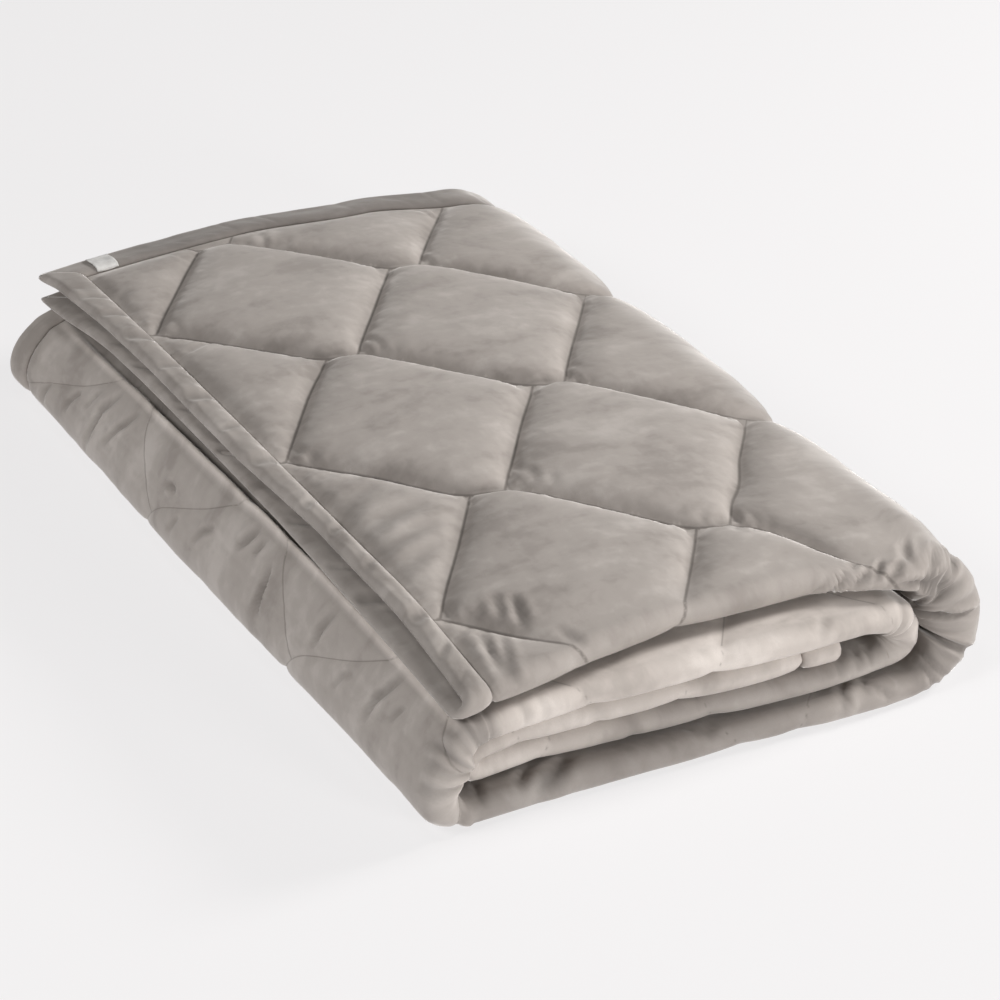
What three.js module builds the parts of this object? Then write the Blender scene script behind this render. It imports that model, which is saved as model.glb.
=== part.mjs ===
// A quilted velvet bedspread, folded in half front to back and then turned over on
// itself from side to side, so that it lies as a pile of five double levels.
// Millimetres, +Z up. X runs along the front of the pile and Y away from it, and
// the origin is on the floor under the middle of the pile.
import * as THREE from "three";

// The quilted cloth
const cloth = {
  puff: 11.4, // thickness in the middle of a quilted cell
  loft: 8.6, // rise of a cell above the middle of the cloth where nothing presses on it
  pressed: 10.4, // thickness where one level lies on another
  seam: 4, // thickness along a stitched line
  bound: 4, // thickness inside the binding
  rise: 38, // distance from a seam at which a cell has its full thickness
  floorTurn: -0.9, // a bend lies on the floor from where its normal dips this far
  lap: 6.5, // half the distance between the two sheets of a level
};

// The stitched lattice: slanting lines joined by short bars along X
const quilt = {
  slantX: 106.5,
  slantY: 130,
  bar: 31.5,
  startS: 318, // where a node lies along the cloth, from its left edge on top
  startY: 246, // and across it
  parts: 4, // grid steps to one slanting line
};

// The binding sewn round all four edges
const binding = {
  width: 37,
  wall: 3, // cloth beyond the panel's edge
  gap: 0.3,
  crown: 5.7, // half its thickness in the middle
  lip: 3.4, // half its thickness at the stitching
  nose: 2.4, // half its thickness at the outer edge
};

const stitching = binding.width + 0.4; // distance from the edge to the binding's seam

const label = { from: 46, width: 29, inset: 5, length: 31, thick: 0.7, steps: 5 };

// Heights of the levels, and how the pile is settled
const levelHeight = 2 * cloth.lap + cloth.puff;
const pitch = 26.1;
const topGap = 3.5; // extra room under the top level
const sag = { x: 0.05, atX: -60, spanX: 200, y: 0.07, atY: -20, spanY: 400 };
const left = { from: -150, to: -215, low: 103, high: 107.5 }; // the left side, under the top level,
const lean = 0.024; // runs out towards the back by this share
const slump = { drop: 0.15, from: 0, to: 400 }; // and is pressed down there

// Steps of the grid that the cloth is drawn on
const grid = {
  step: 64, // along a level that is hidden
  turn: 0.6, // radians along a bend that is hidden
  fold: 6, // steps round the front fold
  inner: 5, // steps across the sheet that is folded under
  front: 2, // steps from the last lattice row to the front fold
  backRow: 345, // no lattice row lies behind this
  frontRow: -341, // or in front of this
  closest: 5, // least distance between columns
};

// One row for each straight run of the cloth, from its left edge on top to its inner
// end: storey, x at its start and end, front and back edges there, and quilting
const runs = [
  { storey: 4, from: -213, to: -20, front: [-378, -371], back: [424, 424], quilted: true },
  { storey: 4, from: -20, to: 205, front: [-371, -397], back: [424, 390], quilted: true },
  { storey: 0, from: 203, to: -215, front: [-421, -380], back: [392, 410], quilted: false },
  { storey: 3, from: -195, to: 164, front: [-376, -408], back: [414, 394], quilted: false },
  { storey: 1, from: 164, to: -204, front: [-404, -362], back: [396, 412], quilted: false },
  { storey: 2, from: -200, to: 132, front: [-366, -399], back: [416, 398], quilted: false },
];
const visibleBends = 2; // the two outer bends show their quilting

const velvet = { color: 0xa39a92, roughness: 0.85, metalness: 0 };
const bindingVelvet = { color: 0x9b928a, roughness: 0.85, metalness: 0 };
const satin = { color: 0xe6e4e0, roughness: 0.6, metalness: 0 };

const mix = THREE.MathUtils.lerp;
const ease = (t) => THREE.MathUtils.smoothstep(t, 0, 1);

function heightOf(storey) {
  return levelHeight / 2 + storey * pitch + (storey === 4 ? topGap : 0);
}

// The middle path of the levels in the XZ plane, as straight runs and half-turn bends
function layPath() {
  const pieces = [];
  let start = 0;
  let quiltStart = -quilt.startS;
  let bends = 0;
  const add = (piece) => {
    pieces.push({ ...piece, start, quiltStart });
    start += piece.length;
    quiltStart += piece.length * (piece.radius ? 1 + cloth.lap / piece.radius : 1);
  };
  runs.forEach((run, i) => {
    const z = heightOf(run.storey);
    add({ ...run, z, length: Math.abs(run.to - run.from), heading: Math.sign(run.to - run.from) });
    const next = runs[i + 1];
    if (!next || next.storey === run.storey) return;
    const radius = Math.abs(heightOf(next.storey) - z) / 2;
    bends += 1;
    add({
      radius,
      length: Math.PI * radius,
      side: Math.sign(run.to - run.from),
      from: run.to,
      to: next.from,
      z: (heightOf(next.storey) + z) / 2,
      front: [run.front[1], next.front[0]],
      back: [run.back[1], next.back[0]],
      quilted: bends <= visibleBends,
    });
  });
  return { pieces, length: start };
}

const path = layPath();

// Where the path is at a distance s along the cloth: its place, its outward normal,
// and the front and back edges of the cloth
function pathAt(s) {
  const piece = path.pieces.findLast((p) => s >= p.start) ?? path.pieces[0];
  const along = s - piece.start;
  const t = ease(along / piece.length);
  const edges = {
    front: mix(piece.front[0], piece.front[1], t),
    back: mix(piece.back[0], piece.back[1], t),
    quilted: piece.quilted,
  };
  if (!piece.radius) {
    const x = piece.from + piece.heading * along;
    return { x, z: piece.z, nx: 0, nz: piece.heading, a: piece.quiltStart + along, ...edges };
  }
  const angle = along / piece.radius;
  const nx = piece.side * Math.sin(angle);
  const nz = piece.side * Math.cos(angle);
  const x = mix(piece.from, piece.to, along / piece.length) + piece.radius * nx;
  const z = piece.z + piece.radius * nz;
  const a = piece.quiltStart + along * (1 + cloth.lap / piece.radius);
  return { x, z, nx, nz, a, ...edges };
}

// The pile settles towards its ends and sides, and its left side leans out at the back
function settle(point) {
  const side = THREE.MathUtils.smoothstep(-point.x, -left.from, -left.to);
  const under = side * (1 - THREE.MathUtils.smoothstep(point.z, left.low, left.high));
  const acrossX = (point.x - sag.atX) / sag.spanX;
  const acrossY = (point.y - sag.atY) / sag.spanY;
  point.z *= 1 - sag.x * acrossX ** 2 - sag.y * acrossY ** 2;
  point.z *= 1 - slump.drop * under * THREE.MathUtils.smoothstep(point.y, slump.from, slump.to);
  point.x -= lean * under * point.y;
  return point;
}

// Lengths across the cloth: one sheet of a level, and the fold that joins its two sheets
const foldLength = Math.PI * cloth.lap;
const sheetDepth = (at) => at.back - at.front - cloth.lap;
const fullWidth = (at) => 2 * sheetDepth(at) + foldLength;

// A point of the cloth: s along it, v across it from the outer back edge, and w out
// from the middle of its thickness
function clothPoint(s, v, w) {
  const at = pathAt(s);
  const depth = sheetDepth(at);
  const turn = THREE.MathUtils.clamp((v - depth) / cloth.lap, 0, Math.PI);
  const flat = v < depth ? depth - v : Math.max(0, v - depth - foldLength);
  const out = (cloth.lap + w) * Math.cos(turn);
  const y = at.front + cloth.lap + flat - (cloth.lap + w) * Math.sin(turn);
  return settle(new THREE.Vector3(at.x + at.nx * out, y, at.z + at.nz * out));
}

// Distance in the plane from a point to the nearest stitched line
function seamDistance(a, b) {
  const { slantX, slantY, bar } = quilt;
  const cell = Math.floor(a / (slantX + bar));
  const x = a - cell * (slantX + bar);
  const y = THREE.MathUtils.euclideanModulo(b + cell * slantY, 2 * slantY);
  const lines = [
    [0, 0, slantX, slantY],
    [0, 2 * slantY, slantX, slantY],
    [slantX, slantY, slantX + bar, slantY],
    [-bar, 0, 0, 0],
    [-bar, 2 * slantY, 0, 2 * slantY],
    [slantX + bar, slantY, 2 * slantX + bar, 0],
    [slantX + bar, slantY, 2 * slantX + bar, 2 * slantY],
  ];
  const distances = lines.map(([x0, y0, x1, y1]) => {
    const along = ((x - x0) * (x1 - x0) + (y - y0) * (y1 - y0)) / ((x1 - x0) ** 2 + (y1 - y0) ** 2);
    const t = THREE.MathUtils.clamp(along, 0, 1);
    return Math.hypot(x - mix(x0, x1, t), y - mix(y0, y1, t));
  });
  return Math.min(...distances);
}

// How far the outer and the inner face of the cloth stand from its middle at s, v
function faceOffsets(s, v) {
  const at = pathAt(s);
  const depth = sheetDepth(at);
  const fromEdge = Math.min(s, path.length - s, v, fullWidth(at) - v);
  if (fromEdge <= binding.width) return [cloth.bound / 2, -cloth.bound / 2];
  const shows = at.quilted && v < depth + foldLength / 2;
  const onFloor = !at.quilted && at.nz < 0 && v < depth && fromEdge > stitching;
  const clearOfFloor = THREE.MathUtils.smoothstep(at.nz, cloth.floorTurn, 0);
  const free = shows ? THREE.MathUtils.smoothstep(depth - v, 0, cloth.rise) * clearOfFloor : 0;
  const outer = mix((shows ? cloth.puff : cloth.pressed) / 2, cloth.loft, free);
  let near = fromEdge - binding.width;
  if (shows) near = Math.min(near, seamDistance(at.a, at.back - v - quilt.startY));
  const rise = 1 - (1 - Math.min(near / cloth.rise, 1)) ** 2;
  const low = cloth.seam / 2;
  return [onFloor ? cloth.puff / 2 : mix(low, outer, rise), -mix(low, cloth.puff / 2, rise)];
}

// Distances along the cloth at which the grid has a column
function columnsAlong() {
  const columns = [binding.wall + binding.gap, binding.width / 2, stitching];
  const last = path.length - binding.wall - binding.gap;
  const push = (s) => {
    if (s > columns[columns.length - 1] + grid.closest) columns.push(s);
  };
  const period = quilt.slantX + quilt.bar;
  path.pieces.forEach((piece) => {
    const end = piece.start + piece.length;
    if (piece.quilted) {
      const stretch = piece.radius ? 1 + cloth.lap / piece.radius : 1;
      const first = Math.floor(piece.quiltStart / period);
      const final = (piece.quiltStart + piece.length * stretch) / period;
      for (let cell = first; cell < final; cell += 1) {
        for (let i = 0; i <= quilt.parts + (piece.radius ? 1 : 0); i += 1) {
          const inCell = i <= quilt.parts ? (quilt.slantX * i) / quilt.parts : quilt.slantX + quilt.bar / 2;
          const s = piece.start + (cell * period + inCell - piece.quiltStart) / stretch;
          if (s > piece.start && s < end) push(s);
        }
      }
    } else {
      const count = Math.ceil(piece.radius ? Math.PI / grid.turn : piece.length / grid.step);
      for (let i = 1; i < count; i += 1) push(piece.start + (piece.length * i) / count);
    }
    if (end < path.length) push(end);
  });
  columns.push(path.length - stitching, path.length - binding.width / 2, last);
  return columns;
}

// Distances across the cloth at which the grid has a row, at one column
function rowsAcross(s) {
  const at = pathAt(s);
  const depth = sheetDepth(at);
  const width = fullWidth(at);
  const edge = [binding.wall + binding.gap, binding.width / 2, stitching];
  const rows = [...edge];
  const step = quilt.slantY / quilt.parts;
  const first = Math.ceil((quilt.startY - grid.backRow) / step);
  const last = Math.floor((quilt.startY - grid.frontRow) / step);
  for (let i = first; i <= last; i += 1) rows.push(at.back - quilt.startY + i * step);
  const front = rows[rows.length - 1];
  for (let i = 1; i <= grid.front; i += 1) rows.push(mix(front, depth, i / grid.front));
  for (let i = 1; i <= grid.fold; i += 1) rows.push(depth + (foldLength * i) / grid.fold);
  const inner = width - stitching;
  for (let i = 1; i < grid.inner; i += 1) rows.push(mix(depth + foldLength, inner, i / grid.inner));
  return [...rows, ...edge.reverse().map((v) => width - v)];
}

function makeMesh(name, points, index, finish) {
  const geometry = new THREE.BufferGeometry().setFromPoints(points).setIndex(index);
  geometry.computeVertexNormals();
  const mesh = new THREE.Mesh(geometry, new THREE.MeshStandardMaterial(finish));
  mesh.name = name;
  return mesh;
}

const columns = columnsAlong();

// The panel: an outer and an inner face over the same grid, closed round its rim
function makePanel() {
  const points = [];
  const heights = [];
  columns.forEach((s) => {
    rowsAcross(s).forEach((v) => {
      const [outer, inner] = faceOffsets(s, v);
      heights.push(outer);
      points.push(clothPoint(s, v, outer), clothPoint(s, v, inner));
    });
  });
  const rowCount = points.length / columns.length / 2;
  const id = (i, j, side) => 2 * (i * rowCount + j) + side;
  const index = [];
  const quad = (a, b, c, d) => index.push(a, b, c, a, c, d);
  for (let i = 0; i + 1 < columns.length; i += 1) {
    for (let j = 0; j + 1 < rowCount; j += 1) {
      const corners = [[i, j], [i, j + 1], [i + 1, j + 1], [i + 1, j]];
      const [h0, h1, h2, h3] = corners.map(([m, n]) => heights[m * rowCount + n]);
      if (h0 + h2 > h1 + h3) corners.push(corners.shift()); // split along the stitched line
      quad(...corners.map(([m, n]) => id(m, n, 0)));
      quad(...corners.reverse().map(([m, n]) => id(m, n, 1)));
    }
  }
  for (let i = 0; i + 1 < columns.length; i += 1) {
    quad(id(i, 0, 0), id(i + 1, 0, 0), id(i + 1, 0, 1), id(i, 0, 1));
    const j = rowCount - 1;
    quad(id(i, j, 0), id(i, j, 1), id(i + 1, j, 1), id(i + 1, j, 0));
  }
  for (let j = 0; j + 1 < rowCount; j += 1) {
    quad(id(0, j, 0), id(0, j, 1), id(0, j + 1, 1), id(0, j + 1, 0));
    const i = columns.length - 1;
    quad(id(i, j, 0), id(i, j + 1, 0), id(i, j + 1, 1), id(i, j, 1));
  }
  return makeMesh("quilted_panel", points, index, velvet);
}

// The binding's section: distance in from the edge and out from the middle, going
// round the outside from the top stitching and back along the slot for the panel
function bindingSection() {
  const { width, wall, gap, crown, lip, nose } = binding;
  const slot = cloth.bound / 2 + gap;
  const outside = [
    { d: width, w: lip },
    { d: 0.6 * width, w: crown },
    { d: 0.15 * width, w: 0.85 * crown },
    { d: 0, w: nose },
  ];
  const under = outside.map(({ d, w }) => ({ d, w: -w })).reverse();
  const inside = [
    { d: width, w: -slot },
    { d: wall, w: -slot },
    { d: wall, w: slot },
    { d: width, w: slot },
  ];
  return [...outside, ...under, ...inside];
}

// A strip of binding: place(station, point) gives each section point, at each station
function makeBinding(name, stations, place, flip) {
  const section = bindingSection();
  const count = section.length;
  const points = [];
  for (let i = 0; i < stations; i += 1) section.forEach((p) => points.push(place(i, p)));
  const index = [];
  const face = (a, b, c) => (flip ? index.push(a, c, b) : index.push(a, b, c));
  for (let i = 0; i + 1 < stations; i += 1) {
    for (let k = 0; k < count; k += 1) {
      const a = i * count + k;
      const b = i * count + ((k + 1) % count);
      face(a, b, b + count);
      face(a, b + count, a + count);
    }
  }
  const outline = section.map(({ d, w }) => new THREE.Vector2(d, w));
  const end = (stations - 1) * count;
  THREE.ShapeUtils.triangulateShape(outline, []).forEach(([a, b, c]) => {
    face(a, c, b);
    face(end + a, end + b, end + c);
  });
  return makeMesh(name, points, index, bindingVelvet);
}

// Edges across the cloth: the left edge on top, and the inner end of the cloth
function makeCrossBinding(name, along, flip) {
  const rows = (s) => {
    const last = fullWidth(pathAt(s)) - binding.width;
    return rowsAcross(s).filter((v) => v > binding.width && v < last);
  };
  const count = rows(along(0)).length;
  const place = (i, { d, w }) => {
    const s = along(d);
    const mitre = d + binding.gap;
    const v = [mitre, ...rows(s), fullWidth(pathAt(s)) - mitre][i];
    return clothPoint(s, v, w);
  };
  return makeBinding(name, count + 2, place, flip);
}

// Edges along the cloth: the back edges of the outer and the inner sheet
function makeBackBinding(name, across, flip) {
  const inside = columns.filter((s) => s > binding.width && s < path.length - binding.width);
  const place = (i, { d, w }) => {
    const mitre = d + binding.gap;
    const s = [mitre, ...inside, path.length - mitre][i];
    return clothPoint(s, across(pathAt(s), d), w);
  };
  return makeBinding(name, inside.length + 2, place, flip);
}

// The sewn-on label, a thin slip that follows the binding it lies on
function makeLabel() {
  const section = bindingSection().slice(0, 4).reverse();
  const heightAt = (v) => {
    const k = Math.max(1, section.findIndex((p) => p.d >= v));
    const [p, q] = [section[k - 1], section[k]];
    return mix(p.w, q.w, (v - p.d) / (q.d - p.d));
  };
  const points = [];
  for (let i = 0; i <= label.steps; i += 1) {
    const v = label.inset + (label.length * i) / label.steps;
    const low = heightAt(v) + binding.gap;
    [low, low + label.thick].forEach((w) => {
      points.push(clothPoint(label.from, v, w), clothPoint(label.from + label.width, v, w));
    });
  }
  const index = [];
  const quad = (a, b, c, d) => index.push(a, b, c, a, c, d);
  for (let n = 0; n < 4 * label.steps; n += 4) {
    quad(n, n + 1, n + 5, n + 4);
    quad(n + 2, n + 6, n + 7, n + 3);
    quad(n, n + 4, n + 6, n + 2);
    quad(n + 1, n + 3, n + 7, n + 5);
  }
  const end = 4 * label.steps;
  quad(0, 2, 3, 1);
  quad(end, end + 1, end + 3, end + 2);
  return makeMesh("label", points, index, satin);
}

const bedspread = new THREE.Group();
bedspread.add(
  makePanel(),
  makeCrossBinding("binding_left_edge", (d) => d, false),
  makeCrossBinding("binding_inner_end", (d) => path.length - d, true),
  makeBackBinding("binding_back_outer", (at, d) => d, true),
  makeBackBinding("binding_back_inner", (at, d) => fullWidth(at) - d, false),
  makeLabel(),
);

// The origin goes under the middle of the whole pile
const middle = new THREE.Box3().setFromObject(bedspread).getCenter(new THREE.Vector3());
bedspread.children.forEach((mesh) => mesh.position.set(-middle.x, -middle.y, 0));

export default bedspread;
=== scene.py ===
import math
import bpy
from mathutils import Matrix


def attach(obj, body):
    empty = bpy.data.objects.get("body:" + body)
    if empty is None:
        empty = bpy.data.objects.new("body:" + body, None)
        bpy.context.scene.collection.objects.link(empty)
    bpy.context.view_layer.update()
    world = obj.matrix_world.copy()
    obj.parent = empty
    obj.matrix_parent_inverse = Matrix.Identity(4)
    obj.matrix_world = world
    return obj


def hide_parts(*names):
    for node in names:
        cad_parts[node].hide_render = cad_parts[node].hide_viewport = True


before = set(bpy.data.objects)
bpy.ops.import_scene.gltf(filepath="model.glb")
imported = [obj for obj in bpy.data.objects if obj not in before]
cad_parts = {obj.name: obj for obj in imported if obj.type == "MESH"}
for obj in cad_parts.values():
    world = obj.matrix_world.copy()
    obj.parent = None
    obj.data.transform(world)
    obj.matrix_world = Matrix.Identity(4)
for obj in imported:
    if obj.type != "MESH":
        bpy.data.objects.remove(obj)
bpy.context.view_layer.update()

from types import SimpleNamespace

import bpy
import numpy as np
from mathutils import Vector

mm = 0.001  # everything below is in millimetres until a mesh is made


# small helpers

def mix(a, b, t):
    return a + (b - a) * t


def smooth(x, low, high):
    t = np.clip((x - low) / (high - low), 0, 1)
    return t * t * (3 - 2 * t)


def fade(x, low, high):
    return 1 - smooth(x, low, high)


def bump(x, middle, width):
    return np.exp(-((x - middle) / width) ** 2)


def trough(q, rim, rimAt, rimOver):  # a crease across its run, with a low rim on both sides
    return np.exp(-q ** 2) - rim * bump(np.abs(q), rimAt, rimOver)


noiseSize = 128


def noise(x, y, seed):  # smooth noise from -1 to 1, about one bump to a unit
    table = np.random.default_rng(seed).uniform(-1, 1, (noiseSize, noiseSize))
    x, y = np.broadcast_arrays(np.asarray(x, float), np.asarray(y, float))
    cx, cy = np.floor(x).astype(int), np.floor(y).astype(int)
    fx, fy = x - cx, y - cy
    fx = fx ** 3 * (fx * (fx * 6 - 15) + 10)
    fy = fy ** 3 * (fy * (fy * 6 - 15) + 10)
    ax, ay = cx % noiseSize, cy % noiseSize
    bx, by = (cx + 1) % noiseSize, (cy + 1) % noiseSize
    near = mix(table[ax, ay], table[bx, ay], fx)
    far = mix(table[ax, by], table[bx, by], fx)
    return mix(near, far, fy)


# the pile: the cloth is folded in half, then turned over on itself from side to side

pile = {
    "lap": 6.5,  # half the distance between the two sheets of a level
    "levelHeight": 24.4,
    "pitch": 26.1,
    "topGap": 3.5,
    "sagX": 0.05, "sagAtX": -60, "sagSpanX": 200,
    "sagY": 0.07, "sagAtY": -20, "sagSpanY": 400,
    "left": (150, 215),
    "lean": 0.024, "slump": 0.15, "slumpTo": 400, "drawIn": 9, "drawFrom": 50,
    "recentre": (-2.967, 1.1),
    "floor": 0.25,  # nothing lies lower than this
}

# storey, x at start and end, front edge at start and end, back edge at start and end
runs = [
    (4, -216, -20, -370, -362, 424, 424),
    (4, -20, 110, -362, -369, 424, 408),
    (4, 110, 205, -369, -399, 408, 384),
    (0, 203, -215, -421, -380, 392, 410),
    (3, -195, 171, -376, -408, 414, 394),
    (1, 171, -192, -404, -362, 396, 412),
    (2, -189, 132, -366, -399, 416, 398),
]

quilt = {
    "slantX": 106.5, "slantY": 130, "bar": 31.5,  # the stitched lattice
    "startS": 321, "startY": 246,
    "corner": 26, "round": 5.4,  # the long lines are rounded at the nodes
    "stray": 1.8, "strayOver": 95,  # and wander a little
    "slack": {3: -25, 4: -47.7, 6: 33, 9: -40},  # cloth gathered up on a piece of the path
    "skew": {4: -14, 5: 43},  # the cloth lies askew: how far at the end of a piece
    # the upper sheet is drawn over the front edge on the right: how far, where in s, and where about the edge
    "slip": 29, "slipOn": (338, 384), "slipOff": (412, 470), "slipFront": (-190, -80), "slipUnder": (24, 110),
    "steadyEdge": 40, "steadyUnder": 60,  # the lines run true beside the binding, and under the front
}


def storeyHeight(storey):
    return pile["levelHeight"] / 2 + storey * pile["pitch"] + (pile["topGap"] if storey == 4 else 0)


def layPath():
    rows = []
    start, quiltStart, skew = 0.0, -float(quilt["startS"]), 0.0

    def addRow(length, bend, *rest):
        nonlocal start, quiltStart, skew
        stretch = bend + quilt["slack"].get(len(rows), 0) / length
        nextSkew = quilt["skew"].get(len(rows), skew)
        rows.append((start, length, stretch, quiltStart, skew, nextSkew, *rest))
        skew = nextSkew
        start += length
        quiltStart += length * stretch

    for i, (storey, fromX, toX, front0, front1, back0, back1) in enumerate(runs):
        z = storeyHeight(storey)
        heading = math.copysign(1, toX - fromX)
        length = abs(toX - fromX)
        addRow(length, 1, 0, heading, fromX, toX, z, front0, front1, back0, back1)
        if i + 1 == len(runs) or runs[i + 1][0] == storey:
            continue
        nextZ = storeyHeight(runs[i + 1][0])
        radius = abs(nextZ - z) / 2
        _, nextX, _, nextFront, _, nextBack, _ = runs[i + 1]
        addRow(math.pi * radius, 1 + pile["lap"] / radius, radius, heading, toX, nextX, (z + nextZ) / 2,
               front1, nextFront, back1, nextBack)
    names = ("start", "length", "stretch", "quiltStart", "skew0", "skew1", "radius", "side",
             "fromX", "toX", "z", "front0", "front1", "back0", "back1")
    return SimpleNamespace(**dict(zip(names, np.array(rows, float).T)), total=start, count=len(rows))


path = layPath()
lastTop, rightBend, onFloor, leftBend, innerBend = 2, 3, 4, 5, 7  # pieces of the path


def pathAt(s):
    s = np.asarray(s, float)
    k = np.clip(np.searchsorted(path.start, s, side="right") - 1, 0, path.count - 1)
    along = s - path.start[k]
    share = along / path.length[k]
    ease = smooth(share, 0, 1)
    radius, side = path.radius[k], path.side[k]
    isBend = radius > 0
    safe = np.where(isBend, radius, 1)
    angle = np.where(isBend, along / safe, 0)
    nx = np.where(isBend, side * np.sin(angle), 0)
    nz = np.where(isBend, side * np.cos(angle), side)
    x = mix(path.fromX[k], path.toX[k], share) + np.where(isBend, radius * nx, 0)
    z = path.z[k] + np.where(isBend, radius * nz, 0)
    a = path.quiltStart[k] + along * path.stretch[k]
    return SimpleNamespace(
        x=x, z=z, nx=nx, nz=nz, a=a, k=k, angle=angle,
        skew=mix(path.skew0[k], path.skew1[k], share),
        front=mix(path.front0[k], path.front1[k], ease),
        back=mix(path.back0[k], path.back1[k], ease),
    )


foldLength = math.pi * pile["lap"]
bindingWidth = 37  # on each face of the cloth


def sheetDepth(at):
    return at.back - at.front - pile["lap"]


def fullWidth(at):
    return 2 * sheetDepth(at) + foldLength


def settle(at, x, y, z):  # the pile sinks towards its ends, and its left side leans out at the back
    p = pile
    under = smooth(-x, *p["left"]) * (at.k > rightBend)
    acrossX = (x - p["sagAtX"]) / p["sagSpanX"]
    acrossY = (y - p["sagAtY"]) / p["sagSpanY"]
    z = z * (1 - p["sagX"] * acrossX ** 2 - p["sagY"] * acrossY ** 2)
    z = z * (1 - p["slump"] * under * smooth(y, 0, p["slumpTo"]))
    out = p["lean"] * y - p["drawIn"] * smooth(y, p["drawFrom"], p["slumpTo"])
    return x - under * out, y, z


handling = {  # how the pile was pushed about when it was laid down
    "reach": 170,  # the top level is free over this distance from its left edge
    "tuck": 3, "tuckAt": -250, "tuckOver": 90,  # the upper sheet's left side is drawn in here
    "backDroop": 5, "backReach": 45, "backHangs": (300, 420),  # the back edge hangs a little, up to these s
    "droop": 3, "pinch": 3, "droopAt": (215, 385),  # and so does its front corner
    "edgeReach": 42,
    # y, and how far the edges of the upper and the lower sheet are drawn in
    "edges": ((-400, 12, 2), (-340, 16, 3), (-250, 18, 4), (-200, 18, 5), (-120, 20, 7), (-60, 17, 8),
              (15, 13, 8), (100, 13, 8), (200, 14, 8), (300, 12, 6), (420, 4, 3)),
    # the lower sheet's far corner has slipped forward
    "slipX": -9, "slipY": -28, "slipBack": (250, 420), "slipAcross": (200, 600),
    # the left bend is pressed flat: angle round it from the floor, and how far in
    "flat": ((0, 0), (0.55, 0), (0.8, 1), (1.1, 6.5), (1.4, 11.5), (1.7, 14.5), (2.0, 15), (2.3, 12),
             (2.55, 7), (2.72, 3), (2.80, 1), (2.87, -1.5), (2.92, -1.5), (2.97, 4), (3.02, 8), (3.07, 8),
             (3.12, 3), (3.15, 0)),
    "round": 0.75, "roundAt": (290, 420),  # but less so at the back
    "crest": (2.5, 2.75), "crestEnds": (310, 370),  # its crest starts at these angles and ends at the back
    "groove": 2.93, "grooveEnds": (270, 335),  # the groove behind it, which closes at the front
    "rolled": 10, "rolledTo": 140,  # where the binding is rolled back
    # the right bend and the inner bend swell at the front: how far, and at which angles
    "bulge": 9, "bulgeRises": (0, 0.5), "bulgeFalls": (2.0, 2.9), "bulgeReach": 160,
    "nose": 5, "noseAt": 2.25, "noseOver": 0.5,
}


def pushAbout(at, s, v, depth, x, y, z):
    h = handling
    onTop = at.k <= lastTop
    free = fade(s, 0, h["reach"]) * onTop
    lower = smooth(v, depth, depth + foldLength)
    x = x + h["tuck"] * bump(y, h["tuckAt"], h["tuckOver"]) * free * (1 - lower)
    hang = smooth(-y, *h["droopAt"]) * free
    z = z - hang * (h["droop"] + h["pinch"] * (1 - lower))
    z = z - h["backDroop"] * fade(v, 0, h["backReach"]) * onTop * fade(s, *h["backHangs"])
    places, upper, under = np.array(h["edges"]).T
    drawn = mix(np.interp(y, places, upper), np.interp(y, places, under), lower)
    x = x + drawn * fade(s, 0, h["edgeReach"]) * onTop
    slip = smooth(y, *h["slipBack"]) * free * smooth(v - depth, *h["slipAcross"])
    x = x + h["slipX"] * slip
    y = y + h["slipY"] * slip
    rolled = smooth(v, 0, bindingWidth) * fade(v, bindingWidth, h["rolledTo"]) * (at.k == leftBend)
    y = y + h["rolled"] * rolled
    return x, y, z


# the fold at the front is loose in the bends: how far back that reaches, then s and how far it swells inwards
looseFolds = [
    (120, (383, 0), (421, 4), (443, 17), (465, 23), (513, 23), (548, 16), (585, 4), (603, 0)),
    (80, (1474, 0), (1496, 4), (1512, 6.6), (1556, 6.6), (1572, 4), (1586, 0)),
    (60, (1008, 0), (1030, 5), (1100, 5), (1126, 0)),
]


def foldSwell(s, flat):
    swell = np.zeros(np.shape(flat))
    for reach, *places in looseFolds:
        where, size = np.array(places, float).T
        i = np.clip(np.searchsorted(where, s) - 1, 0, len(where) - 2)
        eased = mix(size[i], size[i + 1], smooth((s - where[i]) / (where[i + 1] - where[i]), 0, 1))
        swell = swell + eased * fade(flat, 0, reach)
    return swell


def clothPoint(s, v, w):  # s along the cloth, v across it from its outer back edge, w out from its middle
    h = handling
    at = pathAt(s)
    depth = sheetDepth(at)
    turn = np.clip((v - depth) / pile["lap"], 0, math.pi)
    flat = np.where(v < depth, depth - v, np.maximum(0, v - depth - foldLength))
    swell = foldSwell(s, flat)
    lap = pile["lap"] + swell
    y = at.front + lap + flat - (lap + w) * np.sin(turn)
    inset = np.interp(at.angle, *np.array(h["flat"]).T)
    onCrest = smooth(at.angle, *h["crest"])
    inset = inset * mix(1 - h["round"] * smooth(y, *h["roundAt"]), fade(y, *h["crestEnds"]), onCrest)
    inset = np.where(at.angle > h["groove"], inset * fade(-y, *h["grooveEnds"]), inset)
    nearFront = fade(flat, 0, h["bulgeReach"])
    bulge = smooth(at.angle, *h["bulgeRises"]) * fade(at.angle, *h["bulgeFalls"]) * nearFront
    nose = bump(at.angle, h["noseAt"], h["noseOver"]) * nearFront
    out = (lap + w) * np.cos(turn) - swell - np.where(at.k == leftBend, inset, 0)
    out = out + np.where(at.k == rightBend, h["bulge"] * bulge, 0)
    out = out + np.where(at.k == innerBend, h["nose"] * nose, 0)
    x, y, z = settle(at, at.x + at.nx * out, y, at.z + at.nz * out)
    x, y, z = pushAbout(at, s, v, depth, x, y, z)
    z = np.maximum(z, pile["floor"])
    dx, dy = pile["recentre"]
    return np.stack([x + dx, y + dy, z], -1)


# the stitched lattice

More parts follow.
